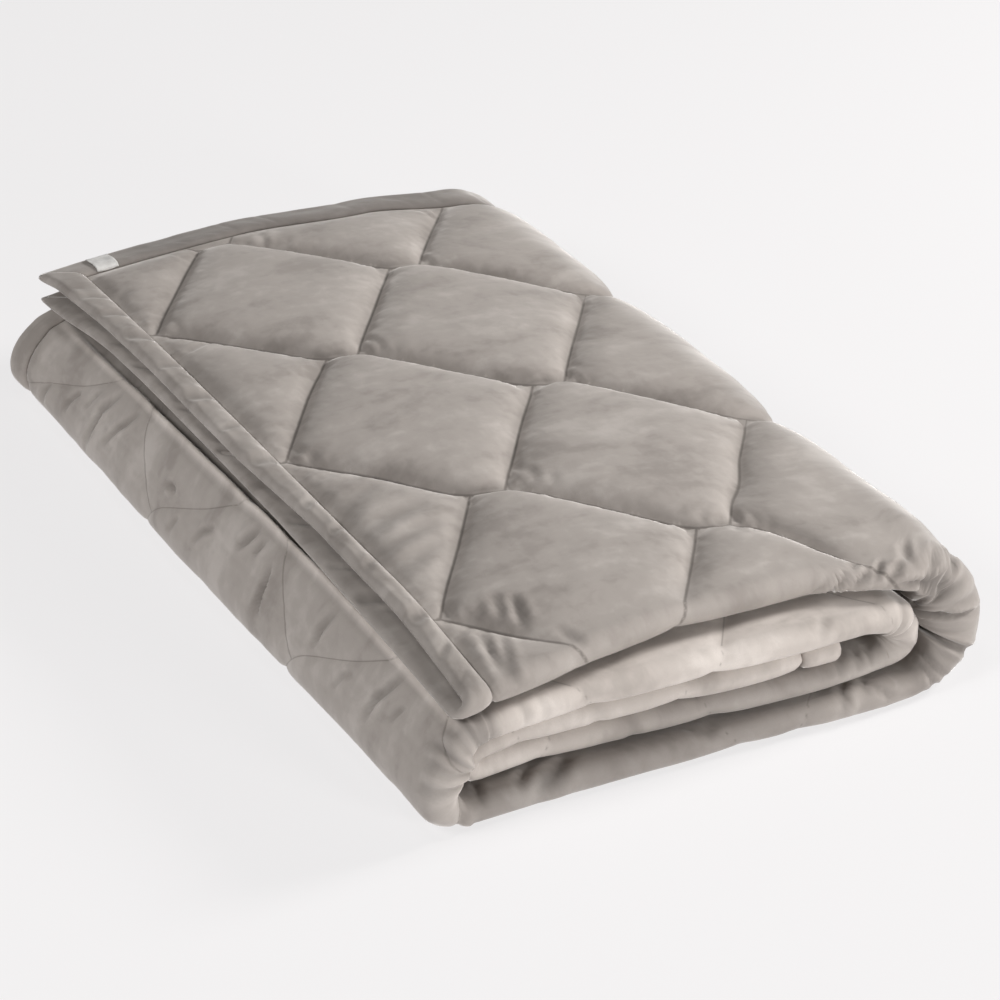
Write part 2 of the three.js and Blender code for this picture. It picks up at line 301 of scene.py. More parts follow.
def toLine(x, y, x0, y0, x1, y1):  # distance to a short line, and the share of the way along it
    length = math.hypot(x1 - x0, y1 - y0)
    t = np.clip(((x - x0) * (x1 - x0) + (y - y0) * (y1 - y0)) / length ** 2, 0, 1)
    return np.hypot(x - mix(x0, x1, t), y - mix(y0, y1, t)), t


def latticeCell(a, b):
    period = quilt["slantX"] + quilt["bar"]
    cell = np.floor(a / period)
    return a - cell * period, np.mod(b + cell * quilt["slantY"], 2 * quilt["slantY"])


def seamDistance(a, b):  # to the nearest stitched line
    p, q, s = quilt["slantX"], quilt["slantY"], quilt["bar"]
    x, y = latticeCell(a, b)
    lines = [(0, 0, p, q), (0, 2 * q, p, q), (p, q, p + s, q), (-s, 0, 0, 0), (-s, 2 * q, 0, 2 * q),
             (p + s, q, 2 * p + s, 0), (p + s, q, 2 * p + s, 2 * q)]
    return np.min([toLine(x, y, *line)[0] for line in lines], 0)


def nodeWarp(a, b):  # moves the lattice so that the long lines run round the nodes in a curve
    p, q, s = quilt["slantX"], quilt["slantY"], quilt["bar"]
    x, y = latticeCell(a, b)
    # bars end and slants start at the left nodes
    left = [(0, 0), (0, 2 * q), (p + s, q), (p + s, -q), (p + s, 3 * q)]
    right = [(-s, 0), (-s, 2 * q), (p, q), (p, -q), (p, 3 * q)]
    pull = np.zeros(np.shape(x))
    for sign, nodes in ((1, left), (-1, right)):
        for nx, ny in nodes:
            pull = pull + sign * np.clip(1 - np.hypot(x - nx, y - ny) / quilt["corner"], 0, 1) ** 2
    pull = pull * quilt["round"]
    length = math.hypot(p, q)
    turnX, turnY = p / length - 1, -q / length
    size = math.hypot(turnX, turnY)
    return pull * turnX / size, pull * turnY / size


# meshes from arrays

def addObject(name, data):
    obj = bpy.data.objects.new(name, data)
    bpy.context.scene.collection.objects.link(obj)
    return obj


def makeObject(name, points, faces, material, coords=None):
    mesh = bpy.data.meshes.new(name)
    mesh.from_pydata((points * mm).tolist(), [], faces)
    mesh.polygons.foreach_set("use_smooth", [True] * len(mesh.polygons))
    for key, values in (coords or {}).items():
        attribute = mesh.attributes.new(key, "FLOAT", "POINT")
        attribute.data.foreach_set("value", np.asarray(values, np.float32))
    mesh.materials.append(material)
    mesh.update()
    print(name, len(points), "points,", sum(len(f) - 2 for f in faces), "triangles")
    return addObject(name, mesh)


def zipLines(lineA, lineB, keysA, keysB, heights, flip):
    # triangles between two lines of points that run the same way, with keys that rise along both
    i = j = 0
    triangles = []
    while i + 1 < len(lineA) or j + 1 < len(lineB):
        a, b = lineA[i], lineB[j]
        endA, endB = i + 1 == len(lineA), j + 1 == len(lineB)
        if not endA and not endB and keysA[i] == keysB[j] and keysA[i + 1] == keysB[j + 1]:
            c, d = lineB[j + 1], lineA[i + 1]
            if heights[a] + heights[c] > heights[b] + heights[d]:
                triangles += [(b, c, d), (b, d, a)]
            else:
                triangles += [(a, b, c), (a, c, d)]
            i, j = i + 1, j + 1
        elif endB or (not endA and keysA[i + 1] < keysB[j + 1]):
            triangles.append((a, b, lineA[i + 1]))
            i += 1
        else:
            triangles.append((a, b, lineB[j + 1]))
            j += 1
    if flip:
        triangles = [(a, c, b) for a, b, c in triangles]
    return triangles


def zipSheet(lines, keys, heights, flip):
    faces = []
    for i in range(len(lines) - 1):
        faces += zipLines(lines[i], lines[i + 1], keys[i], keys[i + 1], heights, flip)
    return faces


# velvet

velvet = {
    "dark": (0.296, 0.267, 0.246),
    "middle": (0.375, 0.341, 0.316),
    "light": (0.458, 0.421, 0.393),
    # the dark line along the stitching: the thread, and painted shade in the seam's groove
    "seam": (0.12, 0.105, 0.094),
    "shader": {"Sheen Weight": 0.75, "Sheen Roughness": 0.36, "Sheen Tint": (1.0, 0.972, 0.948, 1),
               "Specular IOR Level": 0.18},
    "roughness": (0.95, 0.80),  # where the pile is dark, and where it is light
    "brushed": (0.45, 1.0, 1.0),  # patches are longer along the cloth
    # noise: scale, detail, roughness, distortion
    "patches": (24.0, 3.0, 0.5, 0.25), "smudges": (75.0, 3.0, 0.55, 0.3),
    "fibres": (1150.0, 2.0, 0.7), "puckers": (120.0, 3.0, 0.5, 0.6),
    "napShares": (0.72, 0.28), "reliefShares": (0.10, 0.9),  # patches and smudges, fibres and puckers
    "toMiddle": (0.34, 0.50), "toLight": (0.50, 0.67), "toSmooth": (0.36, 0.66),  # steps in the nap
    "grain": (0.3, 0.7, 0.0, 0.16), "threadAndSeamShade": (0.2, 2.2, 0.7, 0.0),
    "relief": {"Strength": 0.30, "Distance": 0.0009},
}


def newMaterial(name):
    material = bpy.data.materials.new(name)
    material.use_nodes = True
    tree = material.node_tree
    return material, tree, tree.nodes["Principled BSDF"]


def feed(tree, node, inputs):
    for key, value in inputs.items():
        if isinstance(value, bpy.types.NodeSocket):
            tree.links.new(value, node.inputs[key])
        else:
            node.inputs[key].default_value = value


def addNode(tree, kind, settings=None, inputs=None):
    node = tree.nodes.new("ShaderNode" + kind)
    for key, value in (settings or {}).items():
        setattr(node, key, value)
    feed(tree, node, inputs or {})
    return node


def noiseNode(tree, vector, scale, detail=3.0, roughness=0.55, distortion=0.0):
    node = addNode(tree, "TexNoise", None, {
        "Vector": vector, "Scale": scale, "Detail": detail, "Roughness": roughness, "Distortion": distortion})
    return node.outputs["Fac"]


def sumNode(tree, first, second, shares):
    scaled = [addNode(tree, "Math", {"operation": "MULTIPLY"}, {0: value, 1: share}).outputs[0]
              for value, share in zip((first, second), shares)]
    return addNode(tree, "Math", {"operation": "ADD"}, dict(enumerate(scaled))).outputs[0]


def rangeNode(tree, value, fromLow, fromHigh, toLow=0.0, toHigh=1.0):
    node = addNode(tree, "MapRange", {"interpolation_type": "SMOOTHSTEP"}, {
        "Value": value, "From Min": fromLow, "From Max": fromHigh, "To Min": toLow, "To Max": toHigh})
    return node.outputs["Result"]


def mixColour(tree, share, first, second, blend="MIX"):
    node = addNode(tree, "Mix", {"data_type": "RGBA", "blend_type": blend}, {0: share})
    for i, value in ((6, first), (7, second)):
        feed(tree, node, {i: (*value, 1) if isinstance(value, tuple) else value})
    return node.outputs[2]


def attributeNode(tree, name):
    return addNode(tree, "Attribute", {"attribute_name": name}).outputs["Fac"]


def placeNode(tree):  # the place on the flat cloth
    along, across = attributeNode(tree, "clothS"), attributeNode(tree, "clothV")
    return addNode(tree, "CombineXYZ", None, {"X": along, "Y": across}).outputs[0]


def reliefNode(tree, height, settings):
    return addNode(tree, "Bump", None, {**settings, "Height": height}).outputs["Normal"]


def velvetMaterial(name, tone, stitched):
    material, tree, bsdf = newMaterial(name)
    place = placeNode(tree)
    scaling = {0: place, 1: velvet["brushed"]}
    brushed = addNode(tree, "VectorMath", {"operation": "MULTIPLY"}, scaling).outputs[0]
    patches = noiseNode(tree, brushed, *velvet["patches"])  # where the pile has been stroked
    smudges = noiseNode(tree, place, *velvet["smudges"])
    fibres = noiseNode(tree, place, *velvet["fibres"])
    puckers = noiseNode(tree, brushed, *velvet["puckers"])
    nap = sumNode(tree, patches, smudges, velvet["napShares"])
    tones = ("dark", "middle", "light", "seam")
    dark, middle, light, seam = (tuple(c * tone for c in velvet[k]) for k in tones)
    colour = mixColour(tree, rangeNode(tree, nap, *velvet["toMiddle"]), dark, middle)
    colour = mixColour(tree, rangeNode(tree, nap, *velvet["toLight"]), colour, light)
    colour = mixColour(tree, rangeNode(tree, fibres, *velvet["grain"]), colour, dark)
    if stitched:
        # a dark line along the stitching: the thread, and painted shade in the seam's groove
        threadAndSeamShade = rangeNode(tree, attributeNode(tree, "seamNear"), *velvet["threadAndSeamShade"])
        colour = mixColour(tree, threadAndSeamShade, colour, seam)
    shade = rangeNode(tree, nap, *velvet["toSmooth"])
    # the base colour is multiplied by the painted light and shade
    feed(tree, bsdf, {
        **velvet["shader"],
        "Base Color": mixColour(tree, 1.0, colour, attributeNode(tree, "paintedShading"), "MULTIPLY"),
        "Roughness": rangeNode(tree, shade, 0.0, 1.0, *velvet["roughness"]),
        "Normal": reliefNode(tree, sumNode(tree, fibres, puckers, velvet["reliefShares"]), velvet["relief"]),
    })
    return material


# the quilted panel

panel = {
    "start": 3.3, "stitching": 37.4, "slack": 0.2,
    "fine": 34, "coarse": 24, "steps": {lastTop: 36, rightBend: 36, leftBend: 42},  # to one slanting line
    "columnGap": 1.2, "rowGap": 1.5,  # the least distance to the stitching, and to the fold
    "hiddenEvery": 9,  # rows kept on hidden levels
    "frontShows": 48, "frontPuffs": 44, "underPuffs": 26,  # what shows of a hidden level, at the front
    "crest": (1115, 1132, 1.3),  # closer columns along the crest of the left end: from, to, step
    "crestGap": (0.8, 0.3),
    "gatherReach": 72,  # twice the rows here, at the front on the right
    "foldSteps": 15, "underSteps": 6, "underStep": 5.0, "innerStep": 58.0,
    "innerEvery": 5, "innerRows": 14, "innerFold": 6, "innerHeight": -4.6,  # the inner face
    "seam": -0.9, "foldSeam": 3.4, "leftSeam": 3.6, "seamEases": 5,  # height of a seam
    "rim": 0.8,  # and of the edge inside the binding
    "loft": 14.4, "leftLoft": 5.8, "fold": 7.8, "pressed": 5.2, "flat": 5.7, "flatEases": 30,
    "clear": (-6, 42), "free": (-0.9, 0), "foldReach": 34,  # less full at the front and under the right end
    "lumps": ((0.8, 52, 40, 21), (0.3, 19, 15, 22)),  # uneven filling: size, over what distances, seed
    "firm": 4.4, "leftFirm": 1.6,  # how soon the filling stops a cell from rising
    "lowest": -1, "hiddenRise": 0.8, "pull": 4,
    # painted light and shade along s: s, tone. Upper folds lighter, lower folds and the right bend darker, a
    # painted highlight on the left end's crest and painted shade in the groove behind it
    "paintedShadingAlong": ((0, 1.0), (420, 1.0), (450, 0.80), (560, 0.77), (600, 0.88), (680, 0.88), (730, 0.76),
                (1000, 0.76), (1022, 0.94), (1052, 1.07), (1112, 1.07), (1118, 1.08), (1120.5, 1.4),
                (1123.5, 1.4), (1126, 0.75), (1130, 0.68), (1136, 0.8), (1148, 1.4), (1380, 1.4), (1490, 1.3),
                (1530, 1.15), (1580, 1.0), (1640, 0.9), (1780, 0.9), (1850, 1.28), (1940, 1.33), (1985, 1.3),
                (2310, 1.3)),
    "crestShift": ((0, 0), (560, 0), (660, 2.4), (757, 6), (790, 6)),  # the painted crest highlight and groove shade drop at the front: v, by
    "creaseShading": 0.065, "creaseShadingLimits": (-9, 4),  # painted shade in a crease and painted light on a ridge, for each millimetre
    # painted light and shade on top: slopes that face this way (degrees) are painted lighter, and those
    # facing away darker
    "nap": 0.34, "paintedLightFrom": 18, "slopeShadeLimits": (-0.7, 0.6), "slopeShadeEnds": (385, 421), "slopeShadeFront": (4, 42),
    "faintThreadAndShade": 0.8, "noThreadOrShade": 50.0,
}
panelEdge = (panel["start"], bindingWidth / 2, panel["stitching"])  # lines of points inside the binding


def panelColumns():
    p, bar = quilt["slantX"], quilt["bar"]
    period = p + bar
    fine, coarse, apart = panel["fine"], panel["coarse"], panel["columnGap"]
    columns = [(s, fine) for s in panelEdge]
    last = path.total - panel["stitching"]
    for k in range(path.count):
        steps = panel["steps"].get(k, fine if k < lastTop else coarse)
        barSteps = round(steps * bar / p)
        stretch = path.stretch[k]
        inCell = [p * i / steps for i in range(steps)] + [p + bar * i / barSteps for i in range(barSteps)]
        first = math.floor(path.quiltStart[k] / period)
        final = math.ceil((path.quiltStart[k] + path.length[k] * stretch) / period)
        for cell in range(first, final):
            for a in inCell:
                s = path.start[k] + (cell * period + a - path.quiltStart[k]) / stretch
                inside = path.start[k] <= s < path.start[k] + path.length[k]
                if inside and columns[-1][0] + apart < s < last - apart:
                    columns.append((s, steps))
    low, high, step = panel["crest"]
    before, after = panel["crestGap"]
    columns = [column for column in columns if not low - before < column[0] < high + after]
    columns = sorted(columns + [(s, panel["steps"][leftBend]) for s in np.arange(low, high, step)])
    return columns + [(path.total - s, coarse) for s in reversed(panelEdge)]


def panelRows(s, steps):  # (key, v) down one column: a key is a part of the column, and a place in it
    at = pathAt(s)
    depth, width = float(sheetDepth(at)), float(fullWidth(at))
    rows = [((0, v), v) for v in panelEdge]
    shows = steps > panel["coarse"]
    step = quilt["slantY"] / steps
    origin = float(at.back) - quilt["startY"] + float(at.skew)
    first = math.ceil((panel["stitching"] + panel["rowGap"] - origin) / step)
    final = math.floor((depth - panel["rowGap"] - origin) / step)
    gathered = at.k in (lastTop, rightBend)
    for half in range(2 * first, 2 * final + 1):
        j = half / 2
        v = origin + j * step
        fromFront = depth - v
        if half % 2 == 1:
            kept = gathered and fromFront < panel["gatherReach"]
        else:
            kept = shows or fromFront < panel["frontShows"] or j % panel["hiddenEvery"] == 0
        if kept:
            rows.append(((1, j * step), v))
    foldSteps = panel["foldSteps"] * (2 if gathered else 1)
    for i in range(foldSteps + 1):
        rows.append(((2, i / foldSteps), depth + foldLength * i / foldSteps))
    under = depth + foldLength
    for i in range(1, panel["underSteps"] + 1):
        rows.append(((3, i), under + panel["underStep"] * i))
    reach = under + panel["underStep"] * panel["underSteps"]
    inner = width - panel["stitching"]
    count = round((inner - reach) / panel["innerStep"])
    for i in range(1, count):
        rows.append(((4, i), mix(reach, inner, i / count)))
    for i, v in enumerate(reversed(panelEdge)):
        rows.append(((5, i), width - v))
    return rows


def stackColumns(columns):  # each column is s and its rows of v
    lines, allS, allV = [], [], []
    for s, rows in columns:
        lines.append(list(range(len(allS), len(allS) + len(rows))))
        allS += [s] * len(rows)
        allV += rows
    return lines, np.array(allS), np.array(allV)


def edgeDistance(s, v, width):
    return np.minimum(np.minimum(s, path.total - s), np.minimum(v, width - v))


def panelGrid():
    grid = SimpleNamespace(columns=panelColumns())
    rows = [panelRows(s, steps) for s, steps in grid.columns]
    grid.keys = [[key for key, _ in column] for column in rows]
    columns = [(s, [v for _, v in column]) for (s, _), column in zip(grid.columns, rows)]
    grid.lines, grid.s, grid.v = stackColumns(columns)
    grid.at = at = pathAt(grid.s)
    grid.depth = sheetDepth(at)
    grid.b = at.back - grid.v - quilt["startY"] + at.skew
    grid.near = seamDistance(at.a, grid.b)
    moveA, moveB = nodeWarp(at.a, grid.b)
    grid.edge = edgeDistance(grid.s, grid.v, fullWidth(at))
    under = grid.depth + foldLength
    hold = smooth(grid.edge, panel["stitching"], panel["stitching"] + quilt["steadyEdge"])
    hold = hold * fade(grid.v, under, under + quilt["steadyUnder"])
    fromFront = grid.v - grid.depth
    slip = smooth(grid.s, *quilt["slipOn"]) * fade(grid.s, *quilt["slipOff"])
    slip = slip * smooth(fromFront, *quilt["slipFront"]) * fade(fromFront, *quilt["slipUnder"])
    grid.v = grid.v + quilt["slip"] * slip
    strayX, strayY = at.a / quilt["strayOver"], grid.b / quilt["strayOver"]
    grid.moveA = hold * (moveA + quilt["stray"] * noise(strayX, strayY, 11))
    grid.moveB = hold * (moveB + quilt["stray"] * noise(strayX, strayY, 12))
    grid.shows = (at.k <= rightBend) | (at.k == leftBend)
    grid.hidden = grid.v > under + panel["underPuffs"]
    grid.hidden |= ~grid.shows & (grid.depth - grid.v > panel["frontPuffs"])
    grid.faces = zipSheet(grid.lines, grid.keys, grid.near, True)
    return grid


filling = {
    "unit": 100.0,  # millimetres to a unit while the cloth is simulated
    "frames": 16, "uneven": 0.4, "seed": 5,
    "cloth": {
        "quality": 5, "tension_stiffness": 15, "compression_stiffness": 15, "shear_stiffness": 6.0,
        "bending_stiffness": 6.0, "air_damping": 7, "vertex_group_mass": "stitched",
        "use_pressure": True, "uniform_pressure_force": 3.2, "shrink_min": -0.004,
    },
    "held": 0.3, "crestHeld": 1.3,  # points this close to a stitched line are held
    "plainRise": 13, "plainOver": 55,
}


def fillCells(grid):
    # the cloth lies flat with its stitched lines held, and is blown up a little,
    # so that spare cloth puckers along the stitching
    onCrest = (grid.s >= panel["crest"][0]) & (grid.s <= panel["crest"][1])
    held = grid.near < np.where(onCrest, filling["crestHeld"], filling["held"])
    held |= grid.hidden | (grid.edge <= panel["stitching"] + panel["slack"])
    faces = np.array(grid.faces)
    faces = faces[~held[faces].all(1)]
    used = np.unique(faces)
    index = np.zeros(len(held), int)
    index[used] = np.arange(len(used))
    flat = np.stack([grid.at.a + grid.moveA, grid.b + grid.moveB, np.zeros(len(held))], -1)
    uneven = np.random.default_rng(filling["seed"]).uniform(0, filling["uneven"], len(held))
    flat[:, 2] = np.where(held, 0, uneven)
    mesh = bpy.data.meshes.new("flat_cloth")
    mesh.from_pydata((flat[used] / filling["unit"]).tolist(), [], index[faces].tolist())
    sheet = addObject("flat_cloth", mesh)
    stitched = sheet.vertex_groups.new(name="stitched")
    stitched.add([int(i) for i in np.flatnonzero(held[used])], 1.0, "REPLACE")
    cloth = sheet.modifiers.new("cloth", "CLOTH")
    cloth.point_cache.frame_start, cloth.point_cache.frame_end = 1, filling["frames"]
    cloth.collision_settings.use_collision = False
    cloth.collision_settings.use_self_collision = False
    for key, value in filling["cloth"].items():
        setattr(cloth.settings, key, value)
    cloth.settings.effector_weights.gravity = 0
    for step in range(1, filling["frames"] + 1):
        bpy.context.scene.frame_set(step)
    blown = sheet.evaluated_get(bpy.context.evaluated_depsgraph_get()).data
    places = np.zeros(3 * len(used), np.float32)
    blown.vertices.foreach_get("co", places)
    moved = np.zeros((len(held), 3))
    moved[used] = places.reshape(-1, 3) * filling["unit"] - flat[used]
    moved[held] = 0
    bpy.context.scene.frame_set(1)
    bpy.data.objects.remove(sheet)
    print("filled cells rise to", round(float(moved[:, 2].max()), 1))
    return moved


# creases, listed one by one: half width, height (a trough is negative), then places (s, v) along the crease
creases = [
    # the left end
    (3.4, -4.3, (1050, 74), (1064, 77), (1076, 83)),
    (3.2, -4.2, (1063, 114), (1078, 118), (1093, 128)),
    (3.6, -5.3, (1047, 161), (1061, 167), (1095, 172), (1117, 190)),
    (3.4, -4.6, (1070, 197), (1092, 209), (1116, 231)),
    (3, -2.7, (1083, 145), (1099, 152), (1109, 160)),
    (4, 1.8, (1086, 322), (1087, 334)),
    (3, -3.6, (1089, 320), (1093, 328), (1090, 338)),
    (3.2, -3.0, (1054, 345), (1074, 357)),
    (3.2, -3.6, (1065, 388), (1081, 398), (1093, 412)),
    (3.4, -5.0, (1095, 450), (1103, 458), (1116, 466)),
    (3, -3.4, (1099, 474), (1113, 480)),
    (3.6, -5.3, (1059, 506), (1074, 502), (1090, 501), (1105, 500)),
    (3.4, -4.3, (1077, 590), (1098, 592), (1115, 600)),
    (3, -3.0, (1065, 632), (1081, 640), (1091, 652)),
    (3.6, -5.3, (1065, 682), (1087, 686), (1110, 702), (1116, 705)),
    (3, -3.2, (1083, 712), (1101, 722)),
    (2.4, 3.6, (1124, 78), (1124, 160), (1123, 275), (1122, 368), (1121, 525), (1119.5, 640),
     (1117, 730), (1115.5, 785)),
    (4.6, -3.8, (1095, 768), (1098, 783), (1095, 800)),
    (4.4, -3.0, (1083, 772), (1086, 786), (1082, 802)),
    (4.4, -3.2, (1111, 776), (1113, 789), (1110, 802)),
    (4.6, -3.2, (1063, 778), (1067, 792), (1065, 804)),
    # the upper sheet, at the front on the left
    (4.6, -4.2, (63, 734), (58, 760), (53, 792)),
    (4.2, -3.2, (74, 746), (65, 772), (58, 794)),
    (4.6, -3.4, (103, 714), (99, 734), (96, 750)),
    (4.6, -2.4, (92, 705), (86, 730)),
    (4.2, -2.2, (115, 762), (125, 788)),
    # gathers at the nodes
    (4, -1.3, (201, 562), (210, 540)),
    (4, -1.1, (206, 570), (213, 549)),
    (4, -1.2, (207, 581), (213, 558)),
    (4, -1.0, (216, 592), (222, 577)),
    (4.5, -1.3, (296, 434), (311, 416)),
    (4, -1.0, (305, 443), (317, 430)),
    (4, -1.2, (296, 679), (308, 667)),
    (4, -1.2, (308, 684), (320, 674)),
    (4.5, -1.5, (311, 705), (331, 684)),
    # along the stitching of the left binding
    (5, -1.2, (41, 102), (59, 95)),
    (5, -1.3, (44, 172), (65, 166)),
    (5, -1.1, (45, 198), (63, 190)),
    (5, -1.2, (51, 236), (73, 226)),
    (5, -1.4, (50, 438), (67, 430)),
    (5, -1.2, (58, 455), (75, 446)),
    (5, -1.3, (49, 700), (65, 688)),
    (5, -1.2, (65, 718), (81, 709)),
    (9, -1.7, (34, 552), (59, 533), (90, 518)),
    (9, -2.3, (34, 583), (74, 571), (112, 566)),
    (8, -2.2, (34, 604), (72, 601), (106, 592)),
    (8, -2.0, (34, 634), (66, 629), (98, 615)),
    # the upper sheet, at the front on the right
    (1.9, -7.6, (400, 785.5), (424, 786.5), (440, 786.5), (458, 787), (475, 788.5)),
    (1.5, -4.2, (430, 790.5), (448, 791.5), (468, 793)),
    (1.5, -7.5, (450, 796), (475, 799), (492, 801), (508, 798)),
    (1.8, -5.0, (426, 784), (436, 782), (447, 779)),
    (4, -3.6, (428, 758), (418, 778)),
    (2.4, -4.8, (366, 786), (375, 781), (386, 775)),
    (2.4, -3.0, (368, 778), (378, 768)),
    (2.1, -3.6, (381, 784), (390, 777), (400, 768)),
    (2.1, -3.6, (392, 785), (403, 780), (414, 774)),
    (2.2, -4.0, (350, 789), (365, 777)),
    (2.4, -2.6, (334, 784), (350, 781)),
    (1.6, -4.2, (452, 784), (464, 782), (477, 779)),
    (2.4, -2.4, (477, 796), (497, 793)),
    (4, -6.5, (553, 832), (544, 821), (539, 813), (546, 804)),
    (5, 2.2, (534, 828), (528, 816), (531, 806)),
    (2.8, -3.6, (583, 827), (575, 820), (567, 812)),
    (2.6, -3.2, (592, 828), (585, 820), (577, 811)),
    # the lower folds
    (3, -2.2, (1426, 803), (1444, 791)),
    (4, -1.6, (1169, 782), (1174, 798)),
    (4, -1.2, (1187, 784), (1192, 798)),
    (3.2, -2.2, (1510, 786), (1514, 812)),
    (3.2, -2.4, (1527, 786), (1528, 812)),
    (2.8, -2.4, (1541, 811), (1555, 800)),
    (2.6, -2.0, (1552, 813), (1558, 804)),
    (5, -1.3, (2081, 778), (2094, 804)),
    (5, -1.3, (1816, 800), (1801, 778)),
    (2.8, -2.8, (1618, 814), (1622, 801)),
    (2.8, -3.0, (1598, 819), (1604, 802)),
    (2.8, -2.8, (1589, 817), (1592, 804)),
    (5, -5.0, (900, 817), (924, 803), (945, 796)),
    (4, -3.6, (933, 817), (945, 808), (958, 801)),
    (3.6, -3.0, (986, 820), (998, 799)),
    (2.8, -2.8, (636, 826), (630, 821), (623, 817)),
    (2.8, -2.8, (635, 838), (644, 821)),
    (3.4, 2.2, (646, 839), (656, 826), (665, 813)),
    (3.4, -2.0, (652, 839), (663, 826), (672, 813)),
    (4, -2.0, (775, 828), (791, 812)),
    (4, -1.8, (809, 828), (787, 812)),
]
creaseForm = {"reach": 3.5, "rim": (0.24, 1.9, 0.8), "ends": 0.6}


def creaseHeight(s, v):
    total = np.zeros(len(s))
    for width, height, *places in creases:
        places = np.array(places, float)
        reach = creaseForm["reach"] * width
        low, high = places.min(0) - reach, places.max(0) + reach
        some = np.flatnonzero((s > low[0]) & (s < high[0]) & (v > low[1]) & (v < high[1]))
        lengths = np.hypot(*np.diff(places, axis=0).T)
        marks = np.concatenate([[0], np.cumsum(lengths)]) / lengths.sum()
        near, share = np.full(len(some), 1e9), np.zeros(len(some))
        for i, (start, end) in enumerate(zip(places[:-1], places[1:])):
            d, t = toLine(s[some], v[some], *start, *end)
            share = np.where(d < near, mix(marks[i], marks[i + 1], t), share)
            near = np.minimum(near, d)
        ends = np.sin(math.pi * share) ** creaseForm["ends"]
        total[some] += height * trough(near / width, *creaseForm["rim"]) * ends
    return total


def panelSurface(grid, moved):  # place and height of the outer face, and its painted light and shade
    p = panel
    at, depth = grid.at, grid.depth
    onLeft = at.k == leftBend
    clear = smooth(depth - grid.v, *p["clear"])
    free = np.where(onLeft, 1, smooth(at.nz, *p["free"])) * grid.shows
    loft = mix(p["fold"], np.where(onLeft, p["leftLoft"], p["loft"]), clear * free)
    atFront = bump(grid.v, depth + foldLength / 2, p["foldReach"])
    full = np.where(grid.shows, loft, mix(p["pressed"], p["fold"], atFront))
    rise = 1 - np.exp(-np.maximum(moved[:, 2], p["lowest"]) / np.where(onLeft, p["leftFirm"], p["firm"]))
    rise = np.where(grid.hidden, p["hiddenRise"], rise)
    seam = mix(p["foldSeam"], np.where(onLeft, p["leftSeam"], p["seam"]), clear * grid.shows)
    atEdge = smooth(grid.edge, p["stitching"], p["stitching"] + p["seamEases"])
    w = mix(mix(p["rim"], seam, atEdge), full, rise)
    for size, overS, overV, seed in p["lumps"]:
        w = w + size * rise * noise(grid.s / overS, grid.v / overV, seed) * ~grid.hidden
    crease = creaseHeight(grid.s, grid.v) * ~grid.hidden
    w = w + crease
    inBinding = grid.edge < p["stitching"] - p["slack"]
    w = np.where(inBinding, p["rim"], w)
    lying = (at.k == onFloor) * fade(grid.v, depth - p["flatEases"], depth) * ~inBinding
    w = mix(w, p["flat"], lying)
    pulled = np.clip(moved[:, :2], -p["pull"], p["pull"])
    s = grid.s + (grid.moveA + pulled[:, 0]) / path.stretch[at.k]
    v = grid.v - grid.moveB - pulled[:, 1]
    shift = np.where(onLeft, np.interp(v, *np.array(p["crestShift"]).T), 0)
    # painted light and shade along s, painted shade in creases and painted light on ridges
    paintedShading = np.interp(s + shift, *np.array(p["paintedShadingAlong"]).T)
    paintedShading = paintedShading * (1 + p["creaseShading"] * np.clip(crease, *p["creaseShadingLimits"]))
    return s, v, w, paintedShading


# painted light and shade from the slope of each face, on top
def paintedSlopeShade(grid, outer):
    faces = np.array(grid.faces)
    a, b, c = (outer[faces[:, i]] for i in range(3))
    across = np.cross(b - a, c - a)
    normals = np.zeros(outer.shape)
    for i in range(3):
        np.add.at(normals, faces[:, i], across)
    normals = normals / np.linalg.norm(normals, axis=1)[:, None]
    towards = math.radians(panel["paintedLightFrom"])
    facing = normals[:, 0] * math.cos(towards) + normals[:, 1] * math.sin(towards)
    onTop = (grid.at.k <= lastTop) * fade(grid.s, *panel["slopeShadeEnds"])
    onTop = onTop * smooth(grid.depth - grid.v, *panel["slopeShadeFront"])
    return 1 + panel["nap"] * np.clip(facing, *panel["slopeShadeLimits"]) * onTop


def innerFace(grid):  # it hides between the two sheets of each level, so it is drawn more coarsely
    count = len(grid.columns)
    kept = sorted({*range(0, count, panel["innerEvery"]), 0, 1, 2, count - 3, count - 2, count - 1})
    columns = []
    flatRows, foldRows = panel["innerRows"], panel["innerFold"]
    for i in kept:
        s = grid.columns[i][0]
        at = pathAt(s)
        depth, width = float(sheetDepth(at)), float(fullWidth(at))
        flat = [mix(panel["stitching"], depth, k / flatRows) for k in range(1, flatRows + 1)]
        fold = [depth + foldLength * k / foldRows for k in range(1, foldRows + 1)]
        lower, last = depth + foldLength, width - panel["stitching"]
        back = [mix(lower, last, k / flatRows) for k in range(1, flatRows)]
        rows = [*panelEdge, *flat, *fold, *back, *(width - e for e in reversed(panelEdge))]
        columns.append((s, rows))
    return stackColumns(columns)


